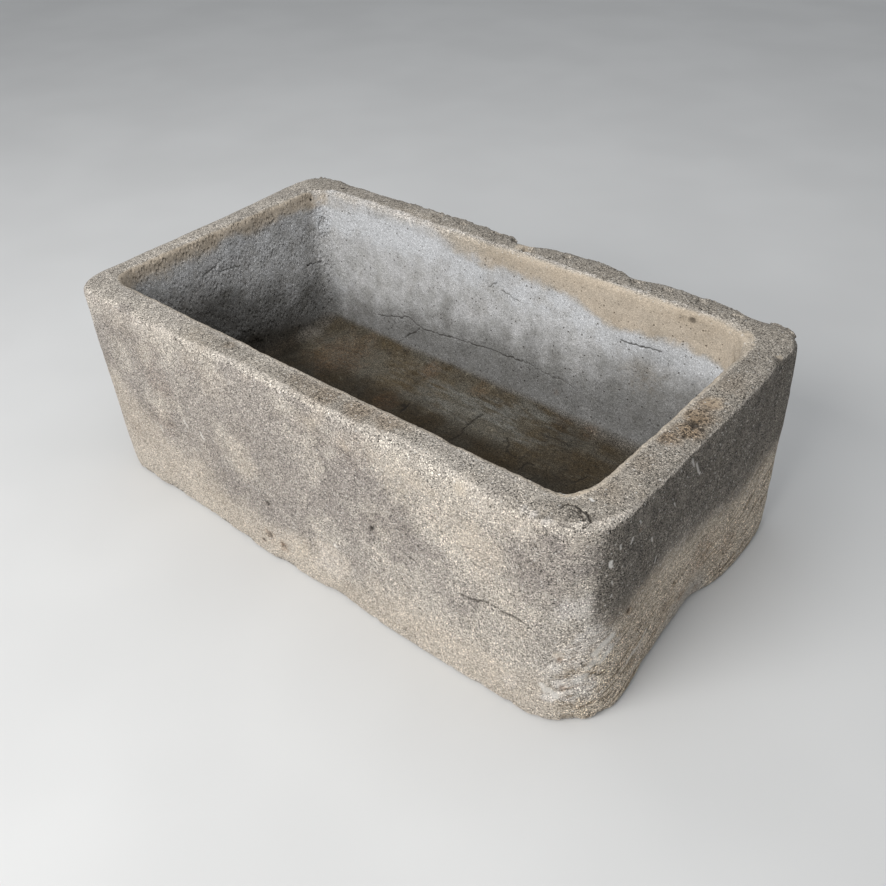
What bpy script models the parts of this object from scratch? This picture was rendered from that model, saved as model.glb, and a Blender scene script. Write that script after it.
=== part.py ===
"""A stone trough, carved from one block of sandstone.

Metres, +Z up. The origin lies under the middle of the block, in the flat bed that it rests on.
+X runs along the length to the right end, and -Y is the long front face.

The skin is one loft. Its rings climb the outside of the block, cross the worn rim, and go down
the walls of the hollow and round its cove to the floor. The outline of the block and the outline
of the hollow each have four unlike corners.
"""

from math import cos, floor, pi, sin

import bmesh
import bpy
from mathutils import Vector, noise

NAME = "trough"

# The block, over its flat faces
LENGTH = 1.253
WIDTH = 0.712
HEIGHT = 0.433

# The walls of the hollow, measured across the rim, and the stone left under its floor
FRONT_WALL = 0.070
RIGHT_WALL = 0.074
BACK_WALL = 0.067
LEFT_WALL = 0.060
FLOOR_THICKNESS = 0.088

# Upright corners of the block, at the rim and at the bed
FRONT_RIGHT_CORNER = 0.092
FRONT_RIGHT_CORNER_AT_BED = 0.116
BACK_RIGHT_CORNER = 0.060
BACK_LEFT_CORNER = 0.062
FRONT_LEFT_CORNER = 0.074
FRONT_LEFT_CORNER_AT_BED = 0.105

# Upright corners of the hollow, at the rim and at the foot of its walls
FRONT_RIGHT_HOLLOW_CORNER = 0.062
BACK_RIGHT_HOLLOW_CORNER = 0.082
BACK_LEFT_HOLLOW_CORNER = 0.032
FRONT_LEFT_HOLLOW_CORNER = 0.048
HOLLOW_CORNER_GROWTH = 0.016

# Worn arrises
BED_ARRIS = 0.009
OUTER_ARRIS = 0.013
INNER_ARRIS = 0.010
RIM_CROWN = 0.002

# The hollow's walls lean in towards a cove, and its floor is dished towards a level strip along
# its middle
WALL_LEAN = 0.014
COVE_RADIUS = 0.052
FLOOR_DISH = 0.006
FLOOR_STRIP = 0.060

# The left end leans in towards the bed
LEFT_END_LEAN = 0.016

# How far the hewn faces wander from flat: the outline at the rim, the outline at the bed, and the
# shallow hollows and swellings that the mason's tools left all over
RIM_WANDER = 0.017
BED_WANDER = 0.020
RELIEF_DEPTH = 0.0028
RELIEF_PITCH = 0.130

# Each side's wander outwards, from its first end to its last: the front and back from left to
# right, and the ends from front to back
RIM_WANDER_SHARES = {
    "front": (-0.2, 0, 0.05, 0, -0.05, 0, 0.05, 0, 0),
    "right": (0.1, 0.1, 0.05, 0, 0, 0, -0.1, -0.4, -0.7),
    "back": (
        -0.1, -0.1, -0.1, 0.1, -0.1, 0, 0.2, 0.1, 0.3, 0.4, 0.2, 0.3, -0.3, 0,
        0.4, 0.5, 0.5, -0.2, 0.2, 0.1, 0.1, 0.1, -0.3, -0.3, -0.1,
    ),
    "left": (-1.3, -0.9, -0.55, -0.35, -0.2, 0, 0.2, 0.75, 0.9),
}
BED_WANDER_SHARES = {
    "front": (0.1, -0.15, -0.2, -0.3, 0, 0.25, 0, -0.2, 0, 0.05, -0.1, -0.15, -0.5),
    "right": (0.1, 0.2, 0.2, 0, -0.4, -0.7, -0.8, -0.75, -0.1, 0.2, 0.2, -0.2, -0.7),
    "back": (0, -0.2, 0.1, -0.1, 0, 0.2, -0.1, 0, 0),
    "left": (-0.5, -0.4, -0.1, 0, 0.1, -0.1, 0.1, 0.2, 0.1),
}

# Broken places: how far each one reaches over the surface and into it at most, and where it lies
# as shares of the half length, half width and height, with its shares of that reach and depth
BREAK_REACH = 0.046
BREAK_DEPTH = 0.022
BREAK_SHARES = (
    ("back rim spall", (0.02, 1, 1), 0.75, 0.75),
    ("back rim chip", (0.425, 1, 1), 0.6, 0.25),
    ("back rim wear", (0.83, 1, 1), 1, 0.3),
    ("right end cleft", (1, 0.62, 0.97), 0.6, 0.4),
    ("right end cleft foot", (1, 0.66, 0.84), 0.8, 0.2),
    ("right bed spall", (1, 0.12, 0.04), 1.3, 0.5),
    ("front bed pit", (-0.13, -1, 0.13), 0.8, 0.2),
    ("front rim notch", (-0.16, -0.80, 1), 0.5, 0.25),
    ("corner rim chip", (0.85, -0.82, 1), 0.8, 0.25),
)

# Steps of the loft: round each corner, along each side, and up and down its walls
CORNER_STEPS = 8
SIDE_STEPS = {"front": 30, "right": 18, "back": 44, "left": 18}
OUTER_WALL_STEPS = 9
INNER_WALL_STEPS = 7
ARRIS_STEPS = 3
RIM_STEPS = 3
COVE_STEPS = 5
FLOOR_STEPS = 5

STONE_COLOUR = (0.36, 0.31, 0.24, 1)
STONE_ROUGHNESS = 0.94

QUARTER_TURN = pi / 2
SIDES = ("right", "back", "left", "front")


def clear_scene():
    for old in list(bpy.data.objects):
        bpy.data.objects.remove(old, do_unlink=True)


def stone_material():
    material = bpy.data.materials.new("sandstone")
    material.use_nodes = True
    shader = material.node_tree.nodes["Principled BSDF"]
    shader.inputs["Base Color"].default_value = STONE_COLOUR
    shader.inputs["Roughness"].default_value = STONE_ROUGHNESS
    shader.inputs["Metallic"].default_value = 0
    return material


def between(start, end, share):
    return start + (end - start) * share


def outline(faces, radii):
    """Points round a rectangle with four unlike corners, and the way that each one faces."""
    left, right, front, back = faces
    room = min(right - left, back - front) / 2
    radii = [min(radius, room) for radius in radii]
    centres = (
        Vector((right - radii[0], front + radii[0], 0)),
        Vector((right - radii[1], back - radii[1], 0)),
        Vector((left + radii[2], back - radii[2], 0)),
        Vector((left + radii[3], front + radii[3], 0)),
    )
    points = []
    for corner, side in enumerate(SIDES):
        following = (corner + 1) % len(SIDES)
        for step in range(CORNER_STEPS + 1):
            angle = (corner - 1 + step / CORNER_STEPS) * QUARTER_TURN
            facing = Vector((cos(angle), sin(angle), 0))
            points.append((centres[corner] + radii[corner] * facing, facing))
        start = points[-1][0]
        end = centres[following] + radii[following] * facing
        for step in range(1, SIDE_STEPS[side]):
            points.append((start.lerp(end, step / SIDE_STEPS[side]), facing))
    return points


def read_shares(shares, along):
    """A table of evenly spaced shares, read smoothly at a place between 0 and 1."""
    place = min(max(along, 0), 1) * (len(shares) - 1)
    first = min(floor(place), len(shares) - 2)
    part = place - first
    eased = part * part * (3 - 2 * part)
    return between(shares[first], shares[first + 1], eased)


def wander(point, facing, tables):
    """How far the outline stands out here, each side having its say where the outline faces it."""
    along_x = point.x / LENGTH + 1 / 2
    along_y = point.y / WIDTH + 1 / 2
    return (
        max(facing.x, 0) ** 2 * read_shares(tables["right"], along_y)
        + max(-facing.x, 0) ** 2 * read_shares(tables["left"], along_y)
        + max(facing.y, 0) ** 2 * read_shares(tables["back"], along_x)
        + max(-facing.y, 0) ** 2 * read_shares(tables["front"], along_x)
    )


def relief(point):
    """How far the tooled and broken surface stands above its nominal place."""
    height = RELIEF_DEPTH * noise.noise(point / RELIEF_PITCH)
    for _, place, reach_share, depth_share in BREAK_SHARES:
        centre = Vector((place[0] * LENGTH / 2, place[1] * WIDTH / 2, place[2] * HEIGHT))
        nearness = 1 - ((point - centre).length / (BREAK_REACH * reach_share)) ** 2
        if nearness > 0:
            height -= BREAK_DEPTH * depth_share * nearness**2
    return height


def ring(points, height, tilt):
    """One ring of the loft. Tilt turns the way it faces: 0 is outwards, a quarter turn is up."""
    made = []
    for point, facing in points:
        place = Vector((point.x, point.y, height))
        way = facing * cos(tilt) + Vector((0, 0, sin(tilt)))
        made.append(place + way * relief(place))
    return made


def outer_outline(inset, height):
    """The outline of the block at a height, worn back by an inset."""
    up = height / HEIGHT
    lean = LEFT_END_LEAN * (1 - up)
    faces = (-LENGTH / 2 + inset + lean, LENGTH / 2 - inset, -WIDTH / 2 + inset, WIDTH / 2 - inset)
    corners = (
        between(FRONT_RIGHT_CORNER_AT_BED, FRONT_RIGHT_CORNER, up),
        BACK_RIGHT_CORNER,
        BACK_LEFT_CORNER,
        between(FRONT_LEFT_CORNER_AT_BED, FRONT_LEFT_CORNER, up),
    )
    made = []
    for point, facing in outline(faces, [corner - inset for corner in corners]):
        rim_part = RIM_WANDER * up**2 * wander(point, facing, RIM_WANDER_SHARES)
        bed_part = BED_WANDER * (1 - up) ** 3 * wander(point, facing, BED_WANDER_SHARES)
        made.append((point + facing * (rim_part + bed_part), facing))
    return made


def hollow_outline(inset, growth=0):
    """The outline of the hollow, drawn in by an inset, its corners larger by a growth."""
    faces = (
        -LENGTH / 2 + LEFT_WALL + inset,
        LENGTH / 2 - RIGHT_WALL - inset,
        -WIDTH / 2 + FRONT_WALL + inset,
        WIDTH / 2 - BACK_WALL - inset,
    )
    corners = (
        FRONT_RIGHT_HOLLOW_CORNER,
        BACK_RIGHT_HOLLOW_CORNER,
        BACK_LEFT_HOLLOW_CORNER,
        FRONT_LEFT_HOLLOW_CORNER,
    )
    return outline(faces, [corner + growth for corner in corners])


def bed_rings():
    """The flat underside and the worn arris round it."""
    inner = [point.xyz for point, _ in outer_outline(2 * BED_ARRIS, 0)]
    rings = [inner]
    for step in range(ARRIS_STEPS):
        angle = QUARTER_TURN * step / ARRIS_STEPS
        height = BED_ARRIS * (1 - cos(angle))
        inset = BED_ARRIS * (1 - sin(angle))
        rings.append(ring(outer_outline(inset, height), height, 0))
    return rings


def wall_rings():
    """The hewn outside, from the bed to the foot of the rim's worn arris."""
    top = HEIGHT - OUTER_ARRIS
    rings = []
    for step in range(OUTER_WALL_STEPS + 1):
        height = BED_ARRIS + (top - BED_ARRIS) * step / OUTER_WALL_STEPS
        rings.append(ring(outer_outline(0, height), height, 0))
    return rings


def rim_rings():
    """The outer arris, the crowned top of the walls, and the inner arris."""
    rings = []
    for step in range(1, ARRIS_STEPS + 1):
        angle = QUARTER_TURN * step / ARRIS_STEPS
        inset = OUTER_ARRIS * (1 - cos(angle))
        height = HEIGHT - OUTER_ARRIS * (1 - sin(angle))
        rings.append(ring(outer_outline(inset, height), height, angle))
    outside = outer_outline(OUTER_ARRIS, HEIGHT)
    inside = hollow_outline(-INNER_ARRIS, INNER_ARRIS)
    for step in range(1, RIM_STEPS):
        share = step / RIM_STEPS
        across = [
            (start.lerp(end, share), facing)
            for (start, facing), (end, _) in zip(outside, inside)
        ]
        rings.append(ring(across, HEIGHT + RIM_CROWN * sin(pi * share), QUARTER_TURN))
    for step in range(ARRIS_STEPS + 1):
        angle = QUARTER_TURN * step / ARRIS_STEPS
        inset = -INNER_ARRIS * (1 - sin(angle))
        height = HEIGHT - INNER_ARRIS * (1 - cos(angle))
        rings.append(ring(hollow_outline(inset, -inset), height, QUARTER_TURN + angle))
    return rings


def hollow_rings():
    """The leaning walls of the hollow, the cove at their foot, and the dished floor."""
    top = HEIGHT - INNER_ARRIS
    foot = FLOOR_THICKNESS + COVE_RADIUS
    rings = []
    for step in range(1, INNER_WALL_STEPS + 1):
        down = step / INNER_WALL_STEPS
        points = hollow_outline(WALL_LEAN * down, HOLLOW_CORNER_GROWTH * down)
        rings.append(ring(points, top + (foot - top) * down, 2 * QUARTER_TURN))
    for step in range(1, COVE_STEPS + 1):
        angle = QUARTER_TURN * step / COVE_STEPS
        inset = WALL_LEAN + COVE_RADIUS * (1 - cos(angle))
        height = FLOOR_THICKNESS + COVE_RADIUS * (1 - sin(angle))
        points = hollow_outline(inset, HOLLOW_CORNER_GROWTH)
        rings.append(ring(points, height, 2 * QUARTER_TURN - angle))
    edge = WALL_LEAN + COVE_RADIUS
    middle = (WIDTH - FRONT_WALL - BACK_WALL - FLOOR_STRIP) / 2
    for step in range(1, FLOOR_STEPS + 1):
        share = step / FLOOR_STEPS
        points = hollow_outline(edge + (middle - edge) * share, HOLLOW_CORNER_GROWTH)
        height = FLOOR_THICKNESS - FLOOR_DISH * sin(QUARTER_TURN * share)
        rings.append(ring(points, height, QUARTER_TURN))
    level = sum(point.z for point in rings[-1]) / len(rings[-1])
    rings[-1] = [Vector((point.x, point.y, level)) for point in rings[-1]]
    return rings


def centred(rings):
    """The rings moved level, so that the origin lies under the middle of the whole block."""
    points = [point for each in rings for point in each]
    middle = Vector((
        (max(p.x for p in points) + min(p.x for p in points)) / 2,
        (max(p.y for p in points) + min(p.y for p in points)) / 2,
        0,
    ))
    return [[point - middle for point in each] for each in rings]


def loft(name, rings, material):
    """One closed skin through the rings, with its first and last ring filled flat."""
    bm = bmesh.new()
    loops = [[bm.verts.new(point) for point in each] for each in rings]
    for lower, upper in zip(loops, loops[1:]):
        for index in range(len(lower)):
            after = (index + 1) % len(lower)
            bm.faces.new((lower[index], lower[after], upper[after], upper[index]))
    bm.faces.new(reversed(loops[0]))
    bm.faces.new(loops[-1])
    mesh = bpy.data.meshes.new(name)
    bm.to_mesh(mesh)
    bm.free()
    mesh.shade_smooth()
    mesh.materials.append(material)
    return bpy.data.objects.new(name, mesh)


def main():
    clear_scene()
    rings = bed_rings() + wall_rings() + rim_rings() + hollow_rings()
    trough = loft(NAME, centred(rings), stone_material())
    collection = bpy.data.collections.new(NAME)
    bpy.context.scene.collection.children.link(collection)
    collection.objects.link(trough)


main()
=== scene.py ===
"""The looks of a stone trough: one skin of weathered sandstone over its packed block.

Metres, +Z up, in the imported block's own frame, with -Y at the long front face and +X at the right
end. The script works in five steps:

1. the floor, the lights and the camera
2. the block's own surface, smoothed and cut into small even faces, finer where a mark needs it
3. relief pushed in along each point's normal: swells, pecking, worn arrises, pits and cracks
4. colour zones worked out at each point, such as ochre bands, lime and the silt in the hollow
5. one stone material that reads those zones and adds the grain of the sandstone

Marks that stand at a place of their own are placed by the pixel they have in the picture, through
the camera, and so they lie on the stone from any side.
"""

from itertools import product
from math import cos, radians, sin

import bmesh
import bpy
import numpy as np
from mathutils import Matrix, Vector
from mathutils.bvhtree import BVHTree


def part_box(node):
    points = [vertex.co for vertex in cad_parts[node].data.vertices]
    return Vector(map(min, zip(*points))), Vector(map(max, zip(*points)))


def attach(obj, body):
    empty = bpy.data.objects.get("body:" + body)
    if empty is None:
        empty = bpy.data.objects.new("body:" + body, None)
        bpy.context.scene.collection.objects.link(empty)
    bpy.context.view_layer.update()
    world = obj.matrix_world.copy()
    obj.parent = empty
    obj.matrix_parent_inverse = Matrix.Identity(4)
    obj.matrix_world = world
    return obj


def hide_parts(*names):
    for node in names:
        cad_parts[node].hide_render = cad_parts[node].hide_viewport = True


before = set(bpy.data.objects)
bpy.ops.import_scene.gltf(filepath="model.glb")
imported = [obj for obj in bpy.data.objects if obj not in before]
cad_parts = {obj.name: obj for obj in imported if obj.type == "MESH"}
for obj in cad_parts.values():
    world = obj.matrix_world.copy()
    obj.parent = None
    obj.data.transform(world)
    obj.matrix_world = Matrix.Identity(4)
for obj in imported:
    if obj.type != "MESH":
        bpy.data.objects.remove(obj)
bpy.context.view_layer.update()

NODE = "trough"
LOW, HIGH = (np.array(corner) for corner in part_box(NODE))
RIM = HIGH[2]

# The hollow's walls, as thicknesses from the block's box, and the radius of its corners
WALLS = {"left": 0.071, "right": 0.078, "front": 0.075, "back": 0.077}
HOLLOW_CORNER = 0.055

# The camera: its place, its aim and its focal length in pixels of the square picture
PICTURE = 886
FOCAL = 963.3
SENSOR_MM = 36
CAMERA = Vector((1.0927, -1.1848, 1.3112))
CAMERA_YAW = radians(41.128)
CAMERA_PITCH = radians(36.867)
CAMERA_ROLL = radians(-1.721)

# The skin's faces: how they are smoothed and sized, and how far round a mark they are cut finely
SMOOTHING = 2
SKIN_STEP = 0.005
FINE_CUTS = 3
FINE_MARGIN = 0.006
BROKEN_BACK = 0.034
WELD = 0.00001

# How far from a line its distance is worked out, and the distance given beyond that
LINE_REACH = 0.05
FAR = 9.0

# How the surfaces are told apart, each by the two values between which it eases in. INSIDE and
# OUTSIDE are metres from the walls' middle line, RIM_DEPTH is metres below the rim, FLOOR_TOP is
# metres above the bed, and the rest are shares of the normal, or of the way out from that line.
INSIDE = (-0.024, -0.030)
OUTSIDE = (0.016, 0.030)
RIM_DEPTH = (0.060, 0.030)
FLOOR_TOP = (0.17, 0.12)
RIM_FACING = (0.45, 0.85)
FLOOR_FACING = (0.35, 0.80)
UPRIGHT = (0.80, 0.45)
SLOPING = (0.10, 0.30)
DOWNWARD = (-0.70, -0.95)
FACING = (0.40, 0.80)
FACING_RIGHT = (0.35, 0.75)
BY_WALL = (0.30, 0.75)

# How deep each surface is pecked, and how far below the smooth surface a peck mark is dirtiest
PECKING = {
    "inner_left": 0.0014, "inner_front": 0.0011, "inner_right": 0.0012, "inner_back": 0.0005,
    "back": 0.0008, "left": 0.0007, "front": 0.0006, "right": 0.0008, "top": 0.0005, "floor": 0.0013,
}
DIRTY_DEPTH = 0.0025

# The tints of the stone, its stains, the hollow's painted shade, the pale arris with its painted highlight
# and the floor, as 8-bit levels. The two painted shades, pore and peck are multiplied by what lies under
# them.
TINTS = {
    "stone": (172, 165, 156), "pale stone": (185, 177, 166), "stone mottle": (160, 153, 144),
    "mauve": (141, 134, 128), "cream": (191, 180, 166), "rim dirt": (140, 133, 123),
    "ridge_and_highlight": (198, 189, 178), "wash": (203, 203, 204), "wash mottle": (186, 186, 185),
    "weak ochre": (188, 176, 159), "strong ochre": (198, 183, 163), "ochre mottle": (184, 172, 155),
    "lime": (214, 208, 202), "cool lime": (212, 214, 217), "grime": (109, 103, 95),
    "grime mottle": (86, 81, 74), "grime streak": (132, 125, 114), "hollow_shade": (160, 159, 156),
    "brown silt": (92, 79, 57), "grey silt": (97, 92, 81), "dark silt": (62, 55, 45),
    "pale silt": (126, 118, 102), "scum": (126, 124, 117), "dark_shade": (136, 129, 119),
    "rust": (124, 90, 58), "dark bed": (104, 86, 62), "pale bed": (200, 188, 168),
    "crust": (146, 124, 98), "scab": (62, 56, 49), "grit": (226, 222, 216),
    "pore": (120, 112, 102), "peck": (160, 151, 138), "crack": (42, 37, 31),
    "floor": (214, 214, 213), "pale floor": (219, 219, 218),
}

# The width of a sand grain, and how far the stone's layers lean on the right end
SAND = 0.0015
BED_TILT = radians(-20)

# The floor's half width and its gap to the bed
FLOOR_HALF = 9
FLOOR_GAP = 0.0005

# The lamps, each with its place, size, watts and colour, and the light from all round
LAMPS = (
    ("window", (-0.2, -3.5, 2.7), (3.0, 2.2), 150, (1.0, 0.99, 0.975)),
    ("sky", (-0.2, 0.0, 3.4), (3.4, 3.0), 30, (0.96, 0.98, 1.0)),
)
SKY_COLOUR = (0.93, 0.96, 1.0, 1)
SKY_STRENGTH = 0.38
BACKGROUND_STRENGTH = 0.80


# Reading the picture

def camera_axes():
    """The camera's right, up and forward ways."""
    forward = Vector((
        -sin(CAMERA_YAW) * cos(CAMERA_PITCH), cos(CAMERA_YAW) * cos(CAMERA_PITCH), -sin(CAMERA_PITCH)
    ))
    level = Vector((cos(CAMERA_YAW), sin(CAMERA_YAW), 0))
    upright = level.cross(forward)
    right = cos(CAMERA_ROLL) * level + sin(CAMERA_ROLL) * upright
    up = cos(CAMERA_ROLL) * upright - sin(CAMERA_ROLL) * level
    return right, up, forward


def sight(pixel):
    """The way from the camera through a pixel."""
    right, up, forward = camera_axes()
    across = (pixel[0] - PICTURE / 2) / FOCAL
    down = (pixel[1] - PICTURE / 2) / FOCAL
    return (forward + across * right - down * up).normalized()


def on_stone(tree, pixel):
    """The point of the stone that shows at a pixel."""
    place = tree.ray_cast(CAMERA, sight(pixel))[0]
    if place is None:
        raise ValueError(f"pixel {pixel} misses the stone")
    return np.array(place)


# Noise, all of it repeatable

# Large odd numbers and shifts that scramble a cell's place into a number of its own
WORD = 2**32
CELL_FACTORS = np.array((73856093, 19349663, 83492791), np.uint32)
SEED_FACTOR = 2654435761
SCRAMBLES = ((15, 2246822519), (13, 3266489917))
LAST_SHIFT = np.uint32(16)

# Turns the cells, so that their grid doesn't run along the stone's faces
TURN = np.array(Matrix.Rotation(0.9, 3, Vector((0.36, 0.48, 0.8))))


def hashed(cells, seed):
    """A number from 0 to 1 for each whole-numbered cell."""
    wide = cells.astype(np.int64).astype(np.uint32) * CELL_FACTORS
    mixed = wide[:, 0] ^ wide[:, 1] ^ wide[:, 2] ^ np.uint32(seed * SEED_FACTOR % WORD)
    for shift, factor in SCRAMBLES:
        mixed = (mixed ^ (mixed >> np.uint32(shift))) * np.uint32(factor)
    return (mixed ^ (mixed >> LAST_SHIFT)) / float(WORD)


def noise(points, pitch, seed):
    """Smooth noise from -1 to 1 with features about a pitch wide."""
    places = points @ TURN / pitch + seed
    cells = np.floor(places)
    part = places - cells
    eased = part**3 * (part * (6 * part - 15) + 10)
    total = np.zeros(len(points))
    for corner in product((0, 1), repeat=3):
        weight = np.prod(np.where(corner, eased, 1 - eased), axis=1)
        total += weight * hashed(cells + np.array(corner), seed)
    return 2 * total - 1


def layered(points, pitch, seed, layers=3):
    """Noise with finer and fainter layers on it, from about -1 to 1."""
    total = sum(noise(points, pitch / 2**layer, seed + layer) / 2**layer for layer in range(layers))
    return total / 1.3


def scattered(points, pitch, seed):
    """The distance to the nearest of many scattered spots, in pitches, and that spot's own number."""
    places = points @ TURN / pitch
    cells = np.floor(places)
    nearest = np.full(len(points), FAR)
    number = np.zeros(len(points))
    for shift in product((-1, 0, 1), repeat=3):
        near = cells + np.array(shift)
        spot = near + np.stack([hashed(near, seed + axis) for axis in range(3)], axis=1)
        distance = np.linalg.norm(spot - places, axis=1)
        closer = distance < nearest
        nearest[closer] = distance[closer]
        number[closer] = hashed(near, seed + 3)[closer]
    return nearest, number


def ramp(value, start, end):
    """Eases from 0 at the start to 1 at the end, either way round."""
    share = np.clip((value - start) / (end - start), 0, 1)
    return share * share * (3 - 2 * share)


def follow(places, course):
    """A given course of (place, value) pairs, read at many places."""
    return np.interp(places, [pair[0] for pair in course], [pair[1] for pair in course])


# Marks, by their pixels in the picture

# Cracks: the line each one follows, its width, depth and darkness
CRACKS = (
    ("long hairline", ((378, 315), (409, 318), (424, 330), (450, 337), (475, 345), (500, 353),
                       (533, 366)), 0.0024, 0.0020, 0.8),
    ("long hairline tail", ((533, 366), (546, 374), (560, 380), (578, 391)), 0.0022, 0.0014, 0.4),
    ("hairline branch", ((420, 330), (408, 335), (398, 342)), 0.0026, 0.0018, 0.8),
    ("right hairline", ((621, 341), (632, 345), (640, 347), (651, 349), (662, 353)), 0.0028, 0.0022, 0.9),
    ("upper hairline", ((488, 288), (492, 285), (497, 283)), 0.0024, 0.0016, 0.7),
    ("upper hairline end", ((502, 291), (511, 297), (519, 301)), 0.0024, 0.0016, 0.6),
    ("left wall fissure", ((203, 277), (209, 272), (216, 267)), 0.0036, 0.0028, 0.45),
    ("left wall fissure end", ((222, 272), (230, 269), (238, 266)), 0.0032, 0.0022, 0.35),
    ("corner fissure", ((308, 265), (314, 263), (321, 261)), 0.0030, 0.0024, 0.9),
    ("front fissure", ((460, 594), (470, 599), (485, 603), (497, 608), (505, 613), (518, 619), (526, 625),
                       (534, 632)), 0.0034, 0.0026, 0.75),
    ("front fissure start", ((459, 545), (470, 549), (481, 554)), 0.0022, 0.0014, 0.6),
    ("front fissure nick", ((473, 562), (479, 566)), 0.0028, 0.0018, 0.6),
    ("front left fissure", ((406, 555), (412, 559), (420, 566)), 0.0024, 0.0016, 0.7),
    ("front right fissure", ((537, 605), (545, 608), (553, 611)), 0.0028, 0.0018, 0.6),
    ("rim knot", ((560, 508), (566, 505), (575, 506), (584, 511), (590, 517), (592, 523), (586, 527)),
     0.0028, 0.0026, 0.95),
    ("rim knot ring", ((568, 510), (576, 511), (582, 516), (585, 521)), 0.0024, 0.0018, 0.8),
    ("rim knot foot", ((560, 522), (568, 526), (577, 528)), 0.0024, 0.0014, 0.5),
    ("floor scar", ((401, 410), (406, 407), (409, 402)), 0.0060, 0.0036, 1.0),
    ("floor crack", ((482, 414), (474, 420), (466, 427), (458, 436), (450, 441)), 0.0036, 0.0026, 0.70),
    ("floor crack two", ((506, 438), (509, 444), (505, 451), (514, 456)), 0.0036, 0.0024, 0.80),
    ("floor crack three", ((518, 470), (522, 467), (528, 463), (533, 465)), 0.0036, 0.0024, 0.8),
    ("floor crack four", ((572, 482), (579, 480), (588, 476)), 0.0036, 0.0024, 0.80),
    ("floor crack five", ((540, 432), (549, 437), (560, 440), (572, 446)), 0.0034, 0.0020, 0.60),
    ("rim edge nick", ((174, 337), (178, 341), (182, 345)), 0.0026, 0.0016, 0.5),
)

# Pits: where, radius, depth, darkness and rust
PITS = (
    ("front pit", (268, 504), 0.0064, 0.0040, 0.80, 0.2),
    ("front bed pit", (270, 535), 0.0110, 0.0060, 0.62, 0.6),
    ("front bed pit, left", (264, 540), 0.0060, 0.0040, 0.55, 0.5),
    ("front bed pit groove", (283, 546), 0.0100, 0.0040, 0.30, 0.8),
    ("front pock", (371, 529), 0.0060, 0.0042, 0.95, 0.0),
    ("front pock low", (380, 561), 0.0040, 0.0024, 0.70, 0.0),
    ("rusted pit", (629, 611), 0.0060, 0.0046, 1.00, 0.9),
    ("rust spot", (560, 660), 0.0050, 0.0010, 0.20, 1.0),
    ("rust spot low", (563, 688), 0.0050, 0.0010, 0.20, 1.0),
    ("back wall pit", (692, 321), 0.0070, 0.0030, 0.60, 0.0),
    ("left rim pit", (143, 254), 0.0034, 0.0022, 0.80, 0.0),
    ("corner pit", (311, 200), 0.0044, 0.0030, 0.85, 0.0),
    ("back rim pit", (343, 188), 0.0060, 0.0030, 0.80, 0.0),
    ("rim patch pit", (694, 424), 0.0110, 0.0032, 0.70, 0.1),
    ("rim patch pit two", (703, 429), 0.0060, 0.0026, 0.80, 0.0),
    ("rim patch pit three", (684, 437), 0.0060, 0.0024, 0.60, 0.2),
    ("rim patch pit four", (690, 412), 0.0050, 0.0022, 0.60, 0.3),
    ("right end nick", (674, 583), 0.0040, 0.0024, 0.70, 0.5),
    ("floor scar pit", (404, 405), 0.0090, 0.0030, 0.80, 0.0),
)

# Chips broken out of the rim's edges, with steep sides: where, radius and depth
CHIPS = (
    ("front inner edge", (258, 348), 0.0210, 0.0080),
    ("front inner edge, shallow", (247, 342), 0.0300, 0.0030),
    ("back notch", (519, 242), 0.0170, 0.0120),
    ("back notch, right", (528, 249), 0.0150, 0.0110),
    ("back edge 1", (438, 216), 0.0120, 0.0050),
    ("back edge 2", (463, 224), 0.0110, 0.0045),
    ("back edge 3", (497, 233), 0.0130, 0.0050),
    ("back edge 4", (567, 257), 0.0120, 0.0060),
    ("back edge 5", (603, 268), 0.0110, 0.0050),
    ("back edge 6", (637, 281), 0.0150, 0.0080),
    ("back edge 7", (668, 290), 0.0120, 0.0050),
    ("back edge 8", (701, 302), 0.0130, 0.0050),
    ("back edge 9", (738, 316), 0.0120, 0.0045),
)

# Pale scuffs and flecks: the line each one follows, its width and strength
SCUFFS = (
    (((697, 463), (699, 470), (700, 474)), 0.0040, 0.7), (((692, 459), (694, 466)), 0.0030, 0.6),
    (((611, 562), (612, 567)), 0.0050, 0.9), (((633, 537), (631, 544)), 0.0030, 0.8),
    (((612, 581), (613, 585)), 0.0022, 0.5), (((675, 503), (676, 506)), 0.0026, 0.7),
    (((652, 538), (652, 541)), 0.0026, 0.7), (((640, 520), (641, 523)), 0.0026, 0.6),
    (((655, 562), (657, 556)), 0.0026, 0.6), (((620, 545), (621, 549)), 0.0026, 0.7),
    (((595, 654), (603, 645), (612, 636)), 0.0100, 0.65), (((600, 662), (612, 646)), 0.0070, 0.5),
    (((634, 652), (641, 640), (646, 630)), 0.0070, 0.45), (((627, 662), (634, 650)), 0.0060, 0.45),
    (((588, 668), (596, 660)), 0.0100, 0.5), (((575, 682), (585, 676)), 0.0100, 0.5),
    (((549, 690), (556, 697)), 0.0080, 0.6), (((541, 684), (546, 692)), 0.0060, 0.6),
    (((200, 432), (204, 440)), 0.0032, 0.7), (((184, 420), (188, 428)), 0.0030, 0.6),
    (((160, 425), (163, 431)), 0.0030, 0.5), (((335, 545), (337, 547)), 0.0050, 0.7),
    (((409, 219), (411, 226)), 0.0030, 0.9), (((560, 493), (564, 494)), 0.0034, 0.9),
    (((590, 499), (592, 501)), 0.0030, 0.9),
)

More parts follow.
